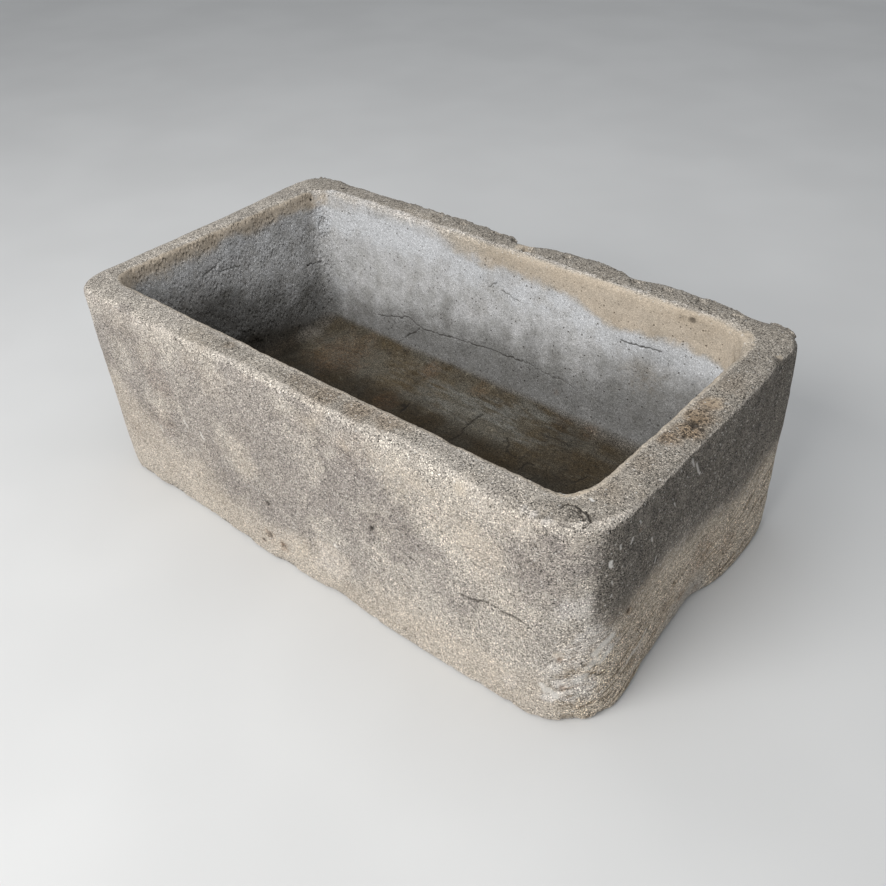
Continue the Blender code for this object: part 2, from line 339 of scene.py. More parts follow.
# Soft patches of one zone: where, reach and strength
PATCHES = {
    "lime": (
        ((570, 695), 0.034, 1), ((548, 698), 0.018, 1), ((582, 684), 0.02, 0.7),
        ((607, 650), 0.016, 0.8), ((602, 638), 0.02, 0.7), ((618, 640), 0.014, 0.7),
        ((524, 508), 0.012, 0.6), ((534, 514), 0.014, 0.65), ((546, 521), 0.014, 0.6),
        ((592, 640), 0.05, 0.75), ((578, 655), 0.05, 0.65), ((577, 612), 0.05, 0.6),
        ((420, 235), 0.06, 0.4), ((350, 222), 0.05, 0.4), ((500, 277), 0.04, 0.6),
        ((460, 262), 0.04, 0.4), ((330, 562), 0.06, 0.4), ((578, 688), 0.05, 0.9),
        ((545, 672), 0.03, 0.35), ((508, 680), 0.03, 0.3), ((345, 203), 0.05, 0.4),
        ((338, 290), 0.05, 0.35), ((318, 305), 0.05, 0.35), ((640, 648), 0.03, 0.3),
        ((562, 684), 0.026, 0.9), ((556, 668), 0.024, 0.6), ((235, 243), 0.05, 0.32),
        ((262, 234), 0.05, 0.32), ((290, 224), 0.05, 0.32),
    ),
    "grime": (
        ((694, 422), 0.032, 0.6), ((688, 432), 0.024, 0.5), ((779, 366), 0.02, 0.9),
        ((655, 372), 0.08, 0.15), ((228, 345), 0.018, 0.4), ((203, 336), 0.012, 0.3),
        ((128, 330), 0.05, 0.28), ((575, 514), 0.024, 0.5), ((777, 360), 0.012, 0.8),
        ((655, 442), 0.03, 0.15),
    ),
    "crust": (
        ((696, 416), 0.04, 1), ((686, 430), 0.036, 1), ((712, 402), 0.03, 0.7), ((672, 438), 0.03, 0.8),
        ((330, 392), 0.05, 0.45), ((360, 408), 0.05, 0.55), ((390, 420), 0.05, 0.5),
        ((300, 378), 0.04, 0.3), ((640, 462), 0.04, 0.25), ((610, 490), 0.04, 0.25),
        ((730, 385), 0.04, 0.25), ((230, 345), 0.02, 0.35),
    ),
    "cream": (
        ((240, 455), 0.08, 0.45), ((318, 415), 0.036, 0.5), ((342, 440), 0.04, 0.35),
        ((460, 487), 0.036, 0.5), ((480, 550), 0.07, 0.65), ((440, 520), 0.08, 0.35),
        ((500, 675), 0.06, 0.7), ((450, 650), 0.05, 0.5), ((210, 385), 0.06, 0.35),
        ((415, 480), 0.05, 0.5), ((200, 470), 0.06, 0.6), ((205, 452), 0.04, 0.3),
        ((305, 545), 0.04, 0.6), ((330, 560), 0.07, 0.8), ((375, 585), 0.05, 0.5),
    ),
    "ochre": (
        ((712, 402), 0.03, 0.8), ((690, 415), 0.04, 0.5), ((523, 246), 0.026, 0.7),
        ((300, 550), 0.04, 0.4), ((780, 358), 0.012, 0.8), ((310, 422), 0.022, 0.35),
        ((460, 488), 0.02, 0.45), ((345, 447), 0.02, 0.4), ((560, 656), 0.014, 0.9),
        ((640, 372), 0.08, 0.3), ((400, 480), 0.08, 0.3), ((465, 530), 0.05, 0.3),
    ),
    "mauve": (
        ((300, 470), 0.13, 0.95), ((345, 500), 0.13, 1), ((385, 510), 0.09, 0.8),
        ((410, 548), 0.08, 0.6), ((300, 440), 0.06, 0.8), ((535, 575), 0.11, 0.7),
        ((570, 562), 0.08, 0.9), ((530, 620), 0.08, 0.3), ((450, 588), 0.09, 0.6),
        ((250, 430), 0.08, 0.5), ((195, 415), 0.08, 0.4), ((180, 395), 0.07, 0.5),
        ((115, 360), 0.06, 0.4), ((455, 515), 0.04, 0.3), ((150, 335), 0.06, 0.5),
        ((300, 428), 0.05, 0.6), ((500, 490), 0.06, 0.4), ((545, 535), 0.05, 0.4), ((128, 330), 0.07, 1),
        ((566, 598), 0.05, 0.8), ((322, 440), 0.05, 0.8), ((350, 470), 0.08, 1), ((380, 502), 0.08, 1),
        ((300, 500), 0.09, 1), ((432, 560), 0.07, 0.8), ((400, 540), 0.08, 0.9), ((240, 402), 0.06, 0.8),
        ((150, 350), 0.05, 0.7), ((142, 412), 0.06, 0.6), ((160, 442), 0.06, 0.6),
    ),
    "rust": (
        ((680, 596), 0.024, 0.8), ((694, 588), 0.014, 0.6), ((430, 371), 0.036, 0.5),
        ((590, 432), 0.03, 0.25), ((560, 425), 0.03, 0.15), ((640, 530), 0.012, 0.35),
        ((556, 392), 0.012, 0.3), ((480, 391), 0.03, 0.3), ((160, 385), 0.06, 0.22),
        ((166, 420), 0.05, 0.25), ((350, 455), 0.05, 0.15), ((340, 355), 0.11, 0.42),
        ((385, 400), 0.05, 0.3), ((668, 436), 0.02, 0.45), ((706, 404), 0.02, 0.45),
        ((700, 560), 0.07, 0.42), ((725, 545), 0.05, 0.36), ((668, 602), 0.06, 0.25),
        ((640, 640), 0.05, 0.22), ((150, 360), 0.06, 0.15),
    ),
}

# The foot of the ochre band on the hollow's back wall, by X, as a depth below the rim
BACK_BAND = (
    (-0.58, 0.044), (-0.44, 0.036), (-0.30, 0.030), (-0.20, 0.030), (-0.13, 0.053), (0.06, 0.052),
    (0.17, 0.054), (0.27, 0.088), (0.37, 0.078), (0.51, 0.086),
)
# The foot of that band on the hollow's other walls
SIDE_BAND = 0.040
# How orange the back wall's band is, by X
BACK_BAND_WARMTH = (
    (-0.58, 0.20), (-0.45, 0.32), (-0.30, 0.16), (-0.20, 0.32), (-0.12, 0.62), (0.05, 0.80),
    (0.25, 1.00), (0.45, 1.00), (0.55, 0.85),
)
# The top of the silt on the hollow's back wall, by X
SILT_LINE = ((-0.60, 0.074), (-0.40, 0.078), (-0.16, 0.102), (0.00, 0.100), (0.13, 0.088), (0.60, 0.074))
# The top of the silt where the floor rises into the back wall's cove, by X
COVE_LINE = ((-0.30, 0.150), (-0.16, 0.117), (0.00, 0.109), (0.13, 0.104), (0.27, 0.093), (0.60, 0.093))
# How much lower than elsewhere the painted shade on the hollow's back wall begins, by X
SHADE_DROP = (
    (-0.50, 0.100), (-0.42, 0.065), (-0.35, 0.030), (-0.15, 0.005), (0.00, -0.012), (0.20, 0.006),
    (0.25, -0.015), (0.29, -0.068), (0.60, -0.050),
)
# How far the pale crest of the hollow's back wall lies outside the walls' middle line
BACK_CREST = -0.0255
# How far outside that line the rim's worn pale arris and its painted highlight lie, at the sides and, by X,
# along the front
SIDE_RIDGE = 0.034
RIDGE = (
    (-0.62, 0.036), (-0.45, 0.034), (-0.34, 0.031), (-0.20, 0.024), (-0.08, 0.018), (0.19, 0.020),
    (0.26, 0.012), (0.345, 0.013), (0.44, 0.033),
)
# The top of the warm band along the foot of the hidden sides, of the front, by X, and of the right
# end, by Y
HIDDEN_BAND = 0.12
FRONT_BAND = ((-0.63, 0.30), (-0.45, 0.21), (-0.33, 0.14), (-0.16, 0.10), (0.21, 0.09), (0.60, 0.11))
RIGHT_BAND = (
    (-0.36, 0.15), (-0.30, 0.187), (-0.25, 0.22), (-0.19, 0.236), (-0.11, 0.244), (-0.01, 0.218),
    (0.08, 0.194), (0.16, 0.196), (0.30, 0.21),
)


# The skin

def packed_block():
    """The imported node's own surface, welded and with its quads joined again."""
    bm = bmesh.new()
    bm.from_mesh(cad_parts[NODE].data)
    bmesh.ops.remove_doubles(bm, verts=bm.verts, dist=WELD)
    bmesh.ops.join_triangles(
        bm, faces=bm.faces, angle_face_threshold=radians(40), angle_shape_threshold=radians(60)
    )
    mesh = bpy.data.meshes.new("block")
    bm.to_mesh(mesh)
    bm.free()
    return mesh


def even_skin():
    """The block's surface as a mesh of small even quads."""
    block = bpy.data.objects.new("block", packed_block())
    bpy.context.scene.collection.objects.link(block)
    smooth = block.modifiers.new("smooth", "SUBSURF")
    smooth.levels = smooth.render_levels = SMOOTHING
    even = block.modifiers.new("even", "REMESH")
    even.mode = "VOXEL"
    even.voxel_size = SKIN_STEP
    bpy.context.view_layer.update()
    mesh = bpy.data.meshes.new_from_object(block.evaluated_get(bpy.context.evaluated_depsgraph_get()))
    bpy.data.objects.remove(block)
    return mesh


def line_between(points, step):
    """Points a step apart along a line through given ones."""
    made = []
    for start, end in zip(points, points[1:]):
        count = max(1, round(float(np.linalg.norm(end - start)) / step))
        made += [start + (end - start) * part / count for part in range(count)]
    return np.array(made + [points[-1]])


def distance_to(points, line):
    """How far each point is from the nearest point of a line, with those out of its reach far away."""
    found = np.full(len(points), FAR)
    near = np.all((points > line.min(0) - LINE_REACH) & (points < line.max(0) + LINE_REACH), axis=1)
    spots = points[near]
    least = np.full(len(spots), FAR)
    for place in line:
        least = np.minimum(least, np.linalg.norm(spots - place, axis=1))
    found[near] = least
    return found


def locate_marks(tree):
    """The cracks and scuffs as lines on the stone, and the pits and chips as places on it."""
    def traced(pixels, width):
        """A line on the stone, with points half a width apart."""
        return line_between([on_stone(tree, pixel) for pixel in pixels], width / 2)

    return {
        "cracks": [(traced(pixels, width), width, *rest) for _, pixels, width, *rest in CRACKS],
        "scuffs": [(traced(pixels, width), width, strength) for pixels, width, strength in SCUFFS],
        "pits": [(on_stone(tree, pixel), *rest) for _, pixel, *rest in PITS],
        "chips": [(on_stone(tree, pixel), *rest) for _, pixel, *rest in CHIPS],
    }


def cut_finely(bm, marks):
    """Cuts the faces at the marks and the broken back arris, so that these are real shapes."""
    centres = np.array([face.calc_center_median() for face in bm.faces])
    wanted = (centres[:, 1] > HIGH[1] - BROKEN_BACK) & (centres[:, 2] > RIM - BROKEN_BACK)
    for line, width, *_ in marks["cracks"] + marks["scuffs"]:
        wanted |= distance_to(centres, line) < width + FINE_MARGIN
    for place, radius, *_ in marks["pits"] + marks["chips"]:
        wanted |= np.linalg.norm(centres - place, axis=1) < radius + FINE_MARGIN
    edges = {edge for face, want in zip(bm.faces, wanted) if want for edge in face.edges}
    bmesh.ops.subdivide_edges(bm, edges=list(edges), cuts=FINE_CUTS, use_grid_fill=True)


def marked_skin():
    """The even skin, cut finely at its marks, the marks, and a tree that finds places on it."""
    mesh = even_skin()
    bm = bmesh.new()
    bm.from_mesh(mesh)
    tree = BVHTree.FromBMesh(bm)
    marks = locate_marks(tree)
    cut_finely(bm, marks)
    bm.to_mesh(mesh)
    bm.free()
    return mesh, marks, tree


# Where each point lies

def to_middle_wall(points):
    """How far each point is outside the line along the middle of the walls, and the way out there."""
    walls = {name: thickness / 2 for name, thickness in WALLS.items()}
    low = LOW[:2] + (walls["left"], walls["front"])
    high = HIGH[:2] - (walls["right"], walls["back"])
    corner = HOLLOW_CORNER + max(walls.values())
    from_middle = points[:, :2] - (low + high) / 2
    past = np.abs(from_middle) - (high - low) / 2 + corner
    furthest = past.max(axis=1, keepdims=True)
    across = np.linalg.norm(np.maximum(past, 0), axis=1) + np.minimum(furthest[:, 0], 0) - corner
    way = np.where(furthest > 0, np.maximum(past, 0), past == furthest)
    return across, np.sign(from_middle) * way / np.linalg.norm(way, axis=1, keepdims=True)


def vectors(items, name):
    """One 3-D value of each of a mesh's items, as rows."""
    values = np.zeros(len(items) * 3, np.float32)
    items.foreach_get(name, values)
    return values.reshape(-1, 3).astype(float)


class Site:
    """Where each point of the smooth skin lies: its place, its facing and which surface it is on.

    A surface's value is 1 on it and 0 off it. Depth is measured down from the rim's top, and across
    is measured outwards from the walls' middle line.
    """

    def __init__(self, mesh):
        self.place = vectors(mesh.vertices, "co")
        self.facing = vectors(mesh.vertex_normals, "vector")
        self.x, self.y, self.z = self.place.T
        self.depth = RIM - self.z
        self.across, way = to_middle_wall(self.place)
        self.ragged = layered(self.place, 0.026, 101)
        self.find_surfaces()
        self.find_sides(way)
        self.find_arrises()

    def find_surfaces(self):
        """The outer faces, the underside, the hollow's floor and walls, and the rim's top."""
        up = self.facing[:, 2]
        in_hollow = ramp(self.across, *INSIDE)
        self.outside = ramp(self.across, *OUTSIDE)
        self.outer = self.outside * ramp(np.abs(up), *UPRIGHT)
        self.under = ramp(up, *DOWNWARD)
        self.floor = in_hollow * ramp(up, *FLOOR_FACING) * ramp(self.z, *FLOOR_TOP)
        self.inner = in_hollow * (1 - self.floor)
        self.top = ramp(up, *RIM_FACING) * ramp(self.depth, *RIM_DEPTH) * (1 - self.inner)

    def find_sides(self, way):
        """The block's four outer faces and the hollow's four walls."""
        nx, ny, _ = self.facing.T
        wx, wy = way.T
        self.front = self.outer * ramp(-ny, *FACING)
        self.back = self.outer * ramp(ny, *FACING)
        self.left = self.outer * ramp(-nx, *FACING)
        self.right = self.outer * ramp(nx, *FACING_RIGHT)
        self.front_side = ramp(-wy, *BY_WALL)
        self.back_side = ramp(wy, *BY_WALL)
        self.inner_front = self.inner * self.front_side
        self.inner_back = self.inner * self.back_side
        self.inner_left = self.inner * ramp(-wx, *BY_WALL)
        self.inner_right = self.inner * ramp(wx, *BY_WALL)

    def find_arrises(self):
        """The rim's outer and inner arris, the bed's edge, and how far across the pale ridge lies."""
        up = self.facing[:, 2]
        sloping = ramp(up, *SLOPING)
        self.outer_arris = self.outside * sloping * ramp(up, 0.98, 0.85) * ramp(self.depth, 0.05, 0.03)
        self.inner_arris = ramp(self.across, -0.016, -0.024) * sloping * ramp(self.depth, 0.04, 0.02)
        self.bed = self.outside * ramp(self.z, 0.030, 0.004)
        self.ridge_at = SIDE_RIDGE + (follow(self.x, RIDGE) - SIDE_RIDGE) * self.front_side


# Relief: how far the worn surface lies above the smooth one

# The unevenness of the whole surface: how far it goes, and how wide it is
SWELL = 0.0009
SWELL_PITCH = 0.075
PECK_PITCH = 0.0145
ROUGH_PITCH = 0.019
FINE_ROUGHNESS = 0.00018
FINE_PITCH = 0.009

# The wear of the rim's arrises, the bed and the pale ridge
ARRIS_CHIP = 0.0022
ARRIS_CHIP_PITCH = 0.024
ARRIS_DENT = 0.0010
ARRIS_DENT_PITCH = 0.030
BED_WEAR = 0.0065
BED_WEAR_PITCH = 0.034
RIDGE_RISE = 0.0008
RIDGE_WANDER = 0.0030
RIDGE_WANDER_PITCH = 0.035
RIDGE_EDGE = (0.0052, 0.0008)

# The back's broken arris: its highest part, its steps down from there and the crumbs on them
BROKEN_TOP = 0.0036
BROKEN_DROP = 0.0062
BROKEN_STEPS = 4
BROKEN_PITCH = 0.017
CRUMB = 0.0034
CRUMB_PITCH = 0.008


def bowl(distance, radius):
    """A round hollow's share of its depth: 1 in the middle and 0 from its radius on."""
    return np.clip(1 - (distance / radius) ** 2, 0, 1) ** 2


def relief(site):
    """The swells, peck marks and roughness of the whole surface."""
    place = site.place
    coarse = sum(deep * getattr(site, surface) for surface, deep in PECKING.items())
    pecks, number = scattered(place, PECK_PITCH, 21)
    height = SWELL * layered(place, SWELL_PITCH, 11)
    height -= coarse * bowl(pecks, 0.62) * ramp(number, 0.15, 0.9)
    height += 0.8 * coarse * layered(place, ROUGH_PITCH, 31, 2)
    height += FINE_ROUGHNESS * noise(place, FINE_PITCH, 41)
    return height


def ridge_and_highlight(site):
    """The worn arris along the rim's front and right, also painted as a highlight: 1 on its line and 0
    beside it.
    """
    wander = RIDGE_WANDER * layered(site.place, RIDGE_WANDER_PITCH, 135)
    away = np.abs(site.across - site.ridge_at - wander)
    seen = ramp(site.depth, *RIM_DEPTH) * (1 - site.back_side) * ramp(site.x, -0.60, -0.50)
    return seen * ramp(away, *RIDGE_EDGE)


def broken_arris(site):
    """The back's outer arris, broken off in steps."""
    behind = site.outer_arris * ramp(site.y, 0.25, 0.32)
    broken_part = behind * ramp(layered(site.place, 0.070, 61), -0.9, -0.1)
    flake = scattered(site.place * (0.6, 1, 1), BROKEN_PITCH, 55)[1]
    step = np.floor(flake * (BROKEN_STEPS - 0.01)) / (BROKEN_STEPS - 1)
    crumb = scattered(site.place, CRUMB_PITCH, 57)[1]
    return broken_part * (BROKEN_TOP - BROKEN_DROP * step - CRUMB * crumb)


def arris_wear(site):
    """The chips and dents along the rim's arrises and the bed's."""
    chips, number = scattered(site.place, ARRIS_CHIP_PITCH, 51)
    dents = ramp(layered(site.place, ARRIS_DENT_PITCH, 71), 0.2, 0.8)
    worn = ramp(layered(site.place, BED_WEAR_PITCH, 81, 4), -0.1, 0.7)
    height = broken_arris(site) + RIDGE_RISE * ridge_and_highlight(site)
    height -= ARRIS_CHIP * site.outer_arris * bowl(chips, 0.5) * ramp(number, 0.45, 0.9)
    height -= ARRIS_DENT * site.inner_arris * dents
    return height - BED_WEAR * site.bed * worn


def shaken(points, pitch, seed):
    """Smooth noise in each of the three directions."""
    return np.stack([noise(points, pitch, seed + axis) for axis in range(3)], axis=1)


def crack_depth(site, cracks):
    """How deep the cracks cut in, and how dark they are. Their lines wander along the surface."""
    depth = np.zeros(len(site.place))
    dark = np.zeros(len(site.place))
    bend = 0.0026 * shaken(site.place, 0.018, 91) + 0.0022 * shaken(site.place, 0.0065, 94)
    bend -= (bend * site.facing).sum(axis=1, keepdims=True) * site.facing
    bent = site.place + bend
    faint = 0.45 + 0.55 * ramp(noise(site.place, 0.020, 97), -0.9, -0.1)
    for line, width, deep, darkness in cracks:
        groove = np.clip(1 - distance_to(bent, line) / width, 0, 1)
        depth = np.maximum(depth, deep * groove)
        dark = np.maximum(dark, darkness * faint * ramp(groove, 0.1, 0.8))
    return depth, dark


def pit_depth(site, pits):
    """How deep the pits cut in, how dark they are, and how rusty round them."""
    depth = np.zeros(len(site.place))
    dark = np.zeros(len(site.place))
    rust = np.zeros(len(site.place))
    ragged = 1 + 0.35 * noise(site.place, 0.008, 95)
    for place, radius, deep, darkness, rusty in pits:
        distance = np.linalg.norm(site.place - place, axis=1) * ragged
        depth = np.maximum(depth, deep * bowl(distance, 1.2 * radius))
        dark = np.maximum(dark, darkness * ramp(distance, radius, 0.45 * radius))
        rust = np.maximum(rust, rusty * bowl(distance, 2.2 * radius))
    return depth, dark, rust


def chip_depth(site, chips):
    """How deep the chips cut in: flat floors with steep ragged sides."""
    depth = np.zeros(len(site.place))
    ragged = 1 + 0.30 * noise(site.place, 0.010, 96)
    for place, radius, deep in chips:
        distance = np.linalg.norm(site.place - place, axis=1) * ragged
        depth = np.maximum(depth, deep * ramp(distance, radius, 0.70 * radius))
    return depth


# Colour zones: how strong each stain, or the painted shade, is at each point, from 0 to 1

def patches(site, tree, zone):
    """Soft ragged patches of a zone, each round the place that its pixel shows."""
    total = np.zeros(len(site.place))
    for pixel, reach, strength in PATCHES[zone]:
        away = site.place - on_stone(tree, pixel)
        near = np.flatnonzero(np.abs(away).max(axis=1) < 1.5 * reach)
        distance = np.linalg.norm(away[near], axis=1) * (1 + 0.45 * site.ragged[near])
        total[near] = np.maximum(total[near], strength * ramp(distance, reach, 0.25 * reach))
    return total


def with_patches(values, site, tree, zone, ragged=1):
    """A zone's values with its patches added."""
    return np.clip(np.maximum(values, patches(site, tree, zone) * ragged), 0, 1)


def ochre_zone(site, tree):
    """Iron stain: bands at the top of the hollow's walls, and along the foot of the right end."""
    wave = layered(site.place, 0.060, 111)
    foot = follow(site.x, BACK_BAND) + 0.008 * wave + 0.007 * layered(site.place, 0.018, 119)
    warm = follow(site.x, BACK_BAND_WARMTH) * (1 + 0.25 * wave)
    crest = ramp(site.depth, -0.002, 0.012)
    zone = site.inner_back * warm * crest * ramp(site.depth, foot + 0.021, foot - 0.019)
    foot = SIDE_BAND + 0.014 * wave
    crest = ramp(site.depth, 0.001, 0.012)
    zone += 0.95 * site.inner_left * crest * ramp(site.depth, foot + 0.028, foot - 0.024)
    zone += 0.60 * (site.inner_front + site.inner_right) * ramp(site.depth, foot + 0.030, foot - 0.010)
    foot = follow(site.y, RIGHT_BAND) + 0.020 * wave + 0.016 * layered(site.place, 0.024, 121)
    zone += 0.62 * site.right * ramp(site.z, foot + 0.090, foot - 0.020)
    zone += 0.25 * site.top * ramp(layered(site.place, 0.10, 115), 0.1, 0.8)
    return with_patches(zone, site, tree, "ochre")


def cream_zone(site, tree):
    """The front's pale warm parts, at its foot and under the rim, and the foot of the hidden sides."""
    wave = layered(site.place, 0.060, 111)
    foot = follow(site.x, FRONT_BAND) + 0.030 * wave
    zone = 0.60 * site.front * ramp(site.z, foot + 0.050, foot - 0.050)
    under_arris = ramp(site.depth, 0.090, 0.045) * ramp(site.depth, 0.002, 0.010)
    under_arris *= 0.25 + 0.75 * ramp(site.x, -0.60, -0.42)
    zone += 0.36 * site.front * under_arris * ramp(layered(site.place, 0.050, 113), -0.6, 0.4)
    foot = HIDDEN_BAND + 0.05 * layered(site.place, 0.060, 117)
    zone += 0.50 * (site.back + site.left) * ramp(site.z, foot + 0.060, foot - 0.060)
    return with_patches(zone, site, tree, "cream")


def lime_zone(site, tree):
    """Pale scale under the hollow's ochre band, along its crest and in spots."""
    below = site.depth - follow(site.x, BACK_BAND) - 0.008 * layered(site.place, 0.060, 111)
    patchy = ramp(layered(site.place, 0.045, 121), -0.9, 0.2)
    zone = 0.80 * site.inner_back * ramp(below, -0.002, 0.014) * ramp(below, 0.110, 0.020) * patchy
    crest = site.back_side * ramp(np.abs(site.across - BACK_CREST), 0.0055, 0.0015)
    zone += 0.50 * crest * ramp(layered(site.place, 0.016, 131), -0.7, 0.5)
    zone += 0.35 * site.inner_back * ramp(site.x, -0.05, -0.25) * ramp(site.depth, 0.14, 0.04)
    zone += 0.50 * site.front * ramp(site.z, 0.014, 0.004)
    return with_patches(zone, site, tree, "lime")


def grime_zone(site, tree):
    """Dark weathering: the upper part of the right end and of the back, and places on the rim."""
    wave = layered(site.place, 0.070, 151)
    foot = follow(site.y, RIGHT_BAND) + 0.020 * wave + 0.016 * layered(site.place, 0.024, 123)
    turned = site.facing[:, 0] + 0.05 * wave - 0.16 * ramp(site.z, 0.30, 0.12)
    zone = 0.95 * site.outer * ramp(turned, 0.68, 1.00) * ramp(site.z, foot - 0.065, foot + 0.090)
    zone += 0.45 * site.back * ramp(site.z, 0.12, 0.30) * ramp(wave, -0.6, 0.4)
    return with_patches(zone, site, tree, "grime")


def rim_zone(site):
    """The dirt trodden into the rim's top: much on the right, less on the left, and painted light by the
    front's inner arris.
    """
    wave = layered(site.place, 0.055, 155)
    share = 0.35 + 0.45 * ramp(site.x, 0.45, 0.57)
    share += 0.50 * ramp(np.abs(site.x - 0.02), 0.38, 0.15) * site.front_side
    share = np.where(site.back_side > 0.5, 0.70 + 0.28 * ramp(site.x, -0.2, 0.4), share)
    within = ramp(site.across, site.ridge_at + 0.002, site.ridge_at - 0.005)
    within = np.maximum(within, site.back_side)
    # Less dirt towards the front's inner arris: painted light against the shade that falls there
    within *= 1 - 0.6 * site.front_side * ramp(site.across, -0.008, -0.022)
    behind = site.back_side * ramp(site.across, -0.021, -0.015)
    zone = (site.top * within + site.outer_arris * behind) * share * (1 + 0.4 * wave)
    return np.clip(zone, 0, 1)


def mauve_zone(site, tree):
    """Greyer, faintly violet stone: in clouds on the front, and weaker elsewhere."""
    zone = 0.50 * (site.left + site.back) * ramp(layered(site.place, 0.12, 161), -0.2, 0.5)
    cloud = ramp(layered(site.place, 0.08, 163), -0.9, 0.2)
    zone += 0.65 * site.front * ramp(site.x, 0.32, 0.10) * cloud * ramp(site.z, 0.03, 0.12)
    zone += 0.25 * site.top * ramp(layered(site.place, 0.09, 165), -0.1, 0.5)
    return with_patches(zone, site, tree, "mauve", 0.75 + 0.50 * layered(site.place, 0.035, 171))


def wash_zone(site):
    """The cool grey of the hollow's walls, where water stood."""
    start = -0.006 + 0.010 * layered(site.place, 0.050, 181) + 0.020 * ramp(site.x, -0.25, -0.12)
    start = np.where(site.back_side > 0.5, start, start + 0.012)
    return np.clip(site.inner * ramp(site.depth, start, start + 0.028), 0, 1)


def silt_zone(site):
    """The dark olive brown of the hollow's floor and of the foot of its walls."""
    wave = layered(site.place, 0.080, 201)
    line = follow(site.x, SILT_LINE) + 0.010 * wave
    zone = 0.80 * site.inner_back * ramp(site.z, line + 0.016, line - 0.016)
    zone += 0.80 * (site.inner_front + site.inner_right) * ramp(site.z, 0.16 + 0.02 * wave, 0.10)
    line = follow(site.x, COVE_LINE) + 0.005 * wave
    on_floor = site.floor * ramp(site.z, line + 0.014, line - 0.008)
    zone += on_floor * (0.95 + 0.30 * layered(site.place, 0.10, 211))
    from_left = ramp(site.x + 0.010 * wave, -0.535, -0.490)
    return np.clip(zone * from_left, 0, 1)


def scum_zone(site):
    """Grey streaks that water left along the back of the hollow's floor."""
    streaks = layered(site.place * (0.28, 1, 1), 0.045, 221)
    zone = ramp(site.y, 0.105, 0.155) * ramp(site.y, 0.285, 0.245)
    zone *= ramp(site.x, -0.36, -0.14) * ramp(site.x, 0.60, 0.06)
    return np.clip(site.floor * zone * ramp(streaks, -0.5, 0.6), 0, 1)


def hollow_shade_zone(site):
    """Painted shade: the hollow's walls darken towards the floor, in runs, most of all on the left and by
    the back left corner, and its floor is darker.
    """
    runs = layered(site.place * (1, 1, 0.2), 0.045, 191)
    height = site.z + 0.024 * runs + 0.030 * layered(site.place, 0.12, 195)
    height += site.back_side * follow(site.x, SHADE_DROP)
    zone = np.minimum(site.inner * ramp(height, 0.35, 0.10), 1 - 0.07 * site.back_side)
    zone += 0.40 * site.inner_left * ramp(height, 0.36, 0.25) * ramp(site.y, 0.20, -0.02)
    zone += 0.20 * site.inner_back * ramp(site.x, -0.36, -0.54) * ramp(site.z, 0.36, 0.24)
    return np.clip(zone + 0.75 * site.floor, 0, 1)


def floor_shade(site, wave):
    """The floor's darkest part: painted shadow of the front wall towards the front, and darker towards the
    right.
    """
    near_front = ramp(site.y + 0.02 * wave, 0.165, 0.085)
    near_right = ramp(site.x + 0.03 * wave, 0.02, 0.24)
    return site.floor * np.maximum(0.80 * near_front, 0.54 * near_right)


def left_wall_shade(site, wave):
    """The left wall's darkest painted shade: along its foot, and higher up towards the front, where the
    front wall shades it.
    """
    foot = 0.95 * ramp(site.z + 0.015 * wave, 0.19, 0.11) * ramp(site.y, 0.26, 0.12)
    foot += 0.35 * ramp(site.z + 0.020 * wave, 0.30, 0.20) * ramp(site.y, 0.14, 0.02)
    by_front = 0.62 * ramp(site.y + 0.020 * wave, 0.04, -0.12) * ramp(site.z, 0.39, 0.28)
    return site.inner_left * (1 - site.back_side) * np.maximum(foot, by_front)


def cove_shade(site, wave):
    """Painted shade in the cove round the floor, along its back and its left."""
    in_cove = ramp(site.facing[:, 2], 0.10, 0.50) * ramp(site.across, *INSIDE)
    along = 0.05 + 0.22 * ramp(site.x, 0.25, 0.05) + 0.12 * ramp(site.x, -0.25, -0.50)
    behind = along * ramp(site.y, 0.215, 0.262)
    at_left = 0.45 * ramp(site.x + 0.010 * wave, LOW[0] + 0.150, LOW[0] + 0.095)
    return in_cove * ramp(site.z, 0.140, 0.105) * (behind + at_left - behind * at_left)


def dark_shade_zone(site):
    """The darkest painted shade of the hollow."""
    wave = layered(site.place, 0.070, 215)
    return np.clip(floor_shade(site, wave) + left_wall_shade(site, wave) + cove_shade(site, wave), 0, 1)


def pecked_zone(site):
    """How roughly the hollow's walls are pecked: least on the back wall's upper part."""
    at_back = np.maximum(0.45 * ramp(site.x, -0.34, -0.54), 0.30 * ramp(site.z, 0.28, 0.14))
    zone = site.inner_left + 0.6 * site.inner_right + 0.5 * site.inner_front + at_back * site.inner_back
    return np.clip(zone, 0, 1)


def scuff_zone(site, scuffs):
    """The pale scuffs and flecks, ragged along their lines."""
    total = np.zeros(len(site.place))
    bent = site.place + 0.0016 * shaken(site.place, 0.010, 98)
    for line, width, strength in scuffs:
        share = np.clip(1 - distance_to(bent, line) / width, 0, 1)
        total = np.maximum(total, strength * ramp(share, 0.0, 0.6))
    return total


def stain_zones(site, tree):
    """The stains, the weathering and the painted shade, by name."""
    return {
        "ochre": ochre_zone(site, tree),
        "cream": cream_zone(site, tree),
        "lime": lime_zone(site, tree),
        "grime": grime_zone(site, tree),
        "mauve": mauve_zone(site, tree),
        "rust": patches(site, tree, "rust"),
        "wash": wash_zone(site),
        "silt": silt_zone(site),
        "hollow_shade": hollow_shade_zone(site),
        "dark_shade": dark_shade_zone(site),
        "scum": scum_zone(site),
    }


def wear_zones(site, tree):
    """What tells one kind of surface from another, by name."""
    return {
        "bedding": np.clip(site.right * ramp(site.z, 0.32, 0.12), 0, 1),
        "pecked": pecked_zone(site),
        "rim": rim_zone(site),
        "ridge_and_highlight": ridge_and_highlight(site) * ramp(layered(site.place, 0.022, 131), -1.0, 0.3),
        "crust": patches(site, tree, "crust") * site.top,
        "dry": 1 - ramp(site.across, -0.020, -0.026) * ramp(site.depth, 0.010, 0.030),
    }


